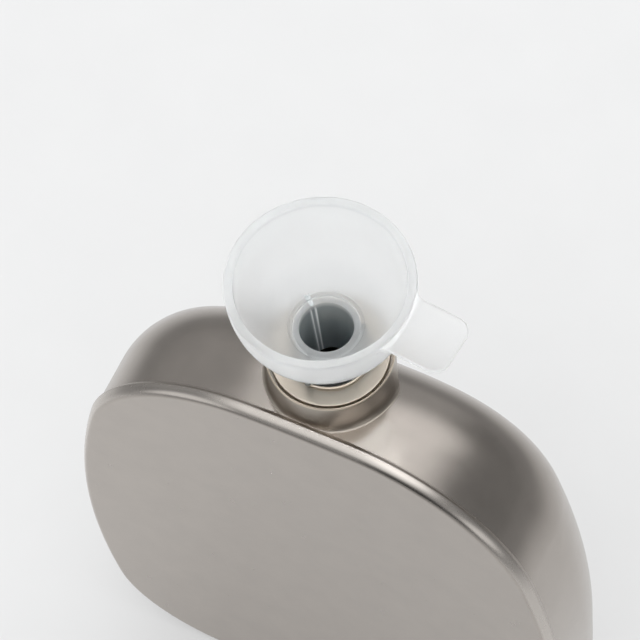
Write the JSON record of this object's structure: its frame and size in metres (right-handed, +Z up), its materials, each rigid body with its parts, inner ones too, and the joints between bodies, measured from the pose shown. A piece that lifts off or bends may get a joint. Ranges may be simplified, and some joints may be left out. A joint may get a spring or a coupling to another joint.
{
  "type": "hip flask",
  "caption": "Curved titanium hip flask with a dished, rolled-edge front, a low neck collar and a translucent filling funnel that lifts out of the mouth.",
  "frame": {"origin": "on the neck axis, at the level of the base that the flask stands on", "axes": "+Z up along the neck axis, +X across the width, the concave face looks along -Y"},
  "size_m": [0.0976, 0.0318, 0.1479],
  "materials": {
    "titanium_shell": "satin titanium, fine blasted grain",
    "titanium_face": "satin titanium, fine blasted grain",
    "titanium_neck": "turned titanium, semi-bright",
    "funnel_plastic": "translucent natural polypropylene"
  },
  "bodies": {
    "flask": {"body_shell": "titanium_shell", "face_plate": "titanium_face", "neck_collar": "titanium_neck", "mouth_bush": "titanium_neck"},
    "funnel": {"funnel": "funnel_plastic"}
  },
  "joints": [
    {"name": "funnel_lift", "type": "slide", "parent": "flask", "child": "funnel", "axis": [0, 0, 1], "range_m": [0, 0.02]}
  ]
}
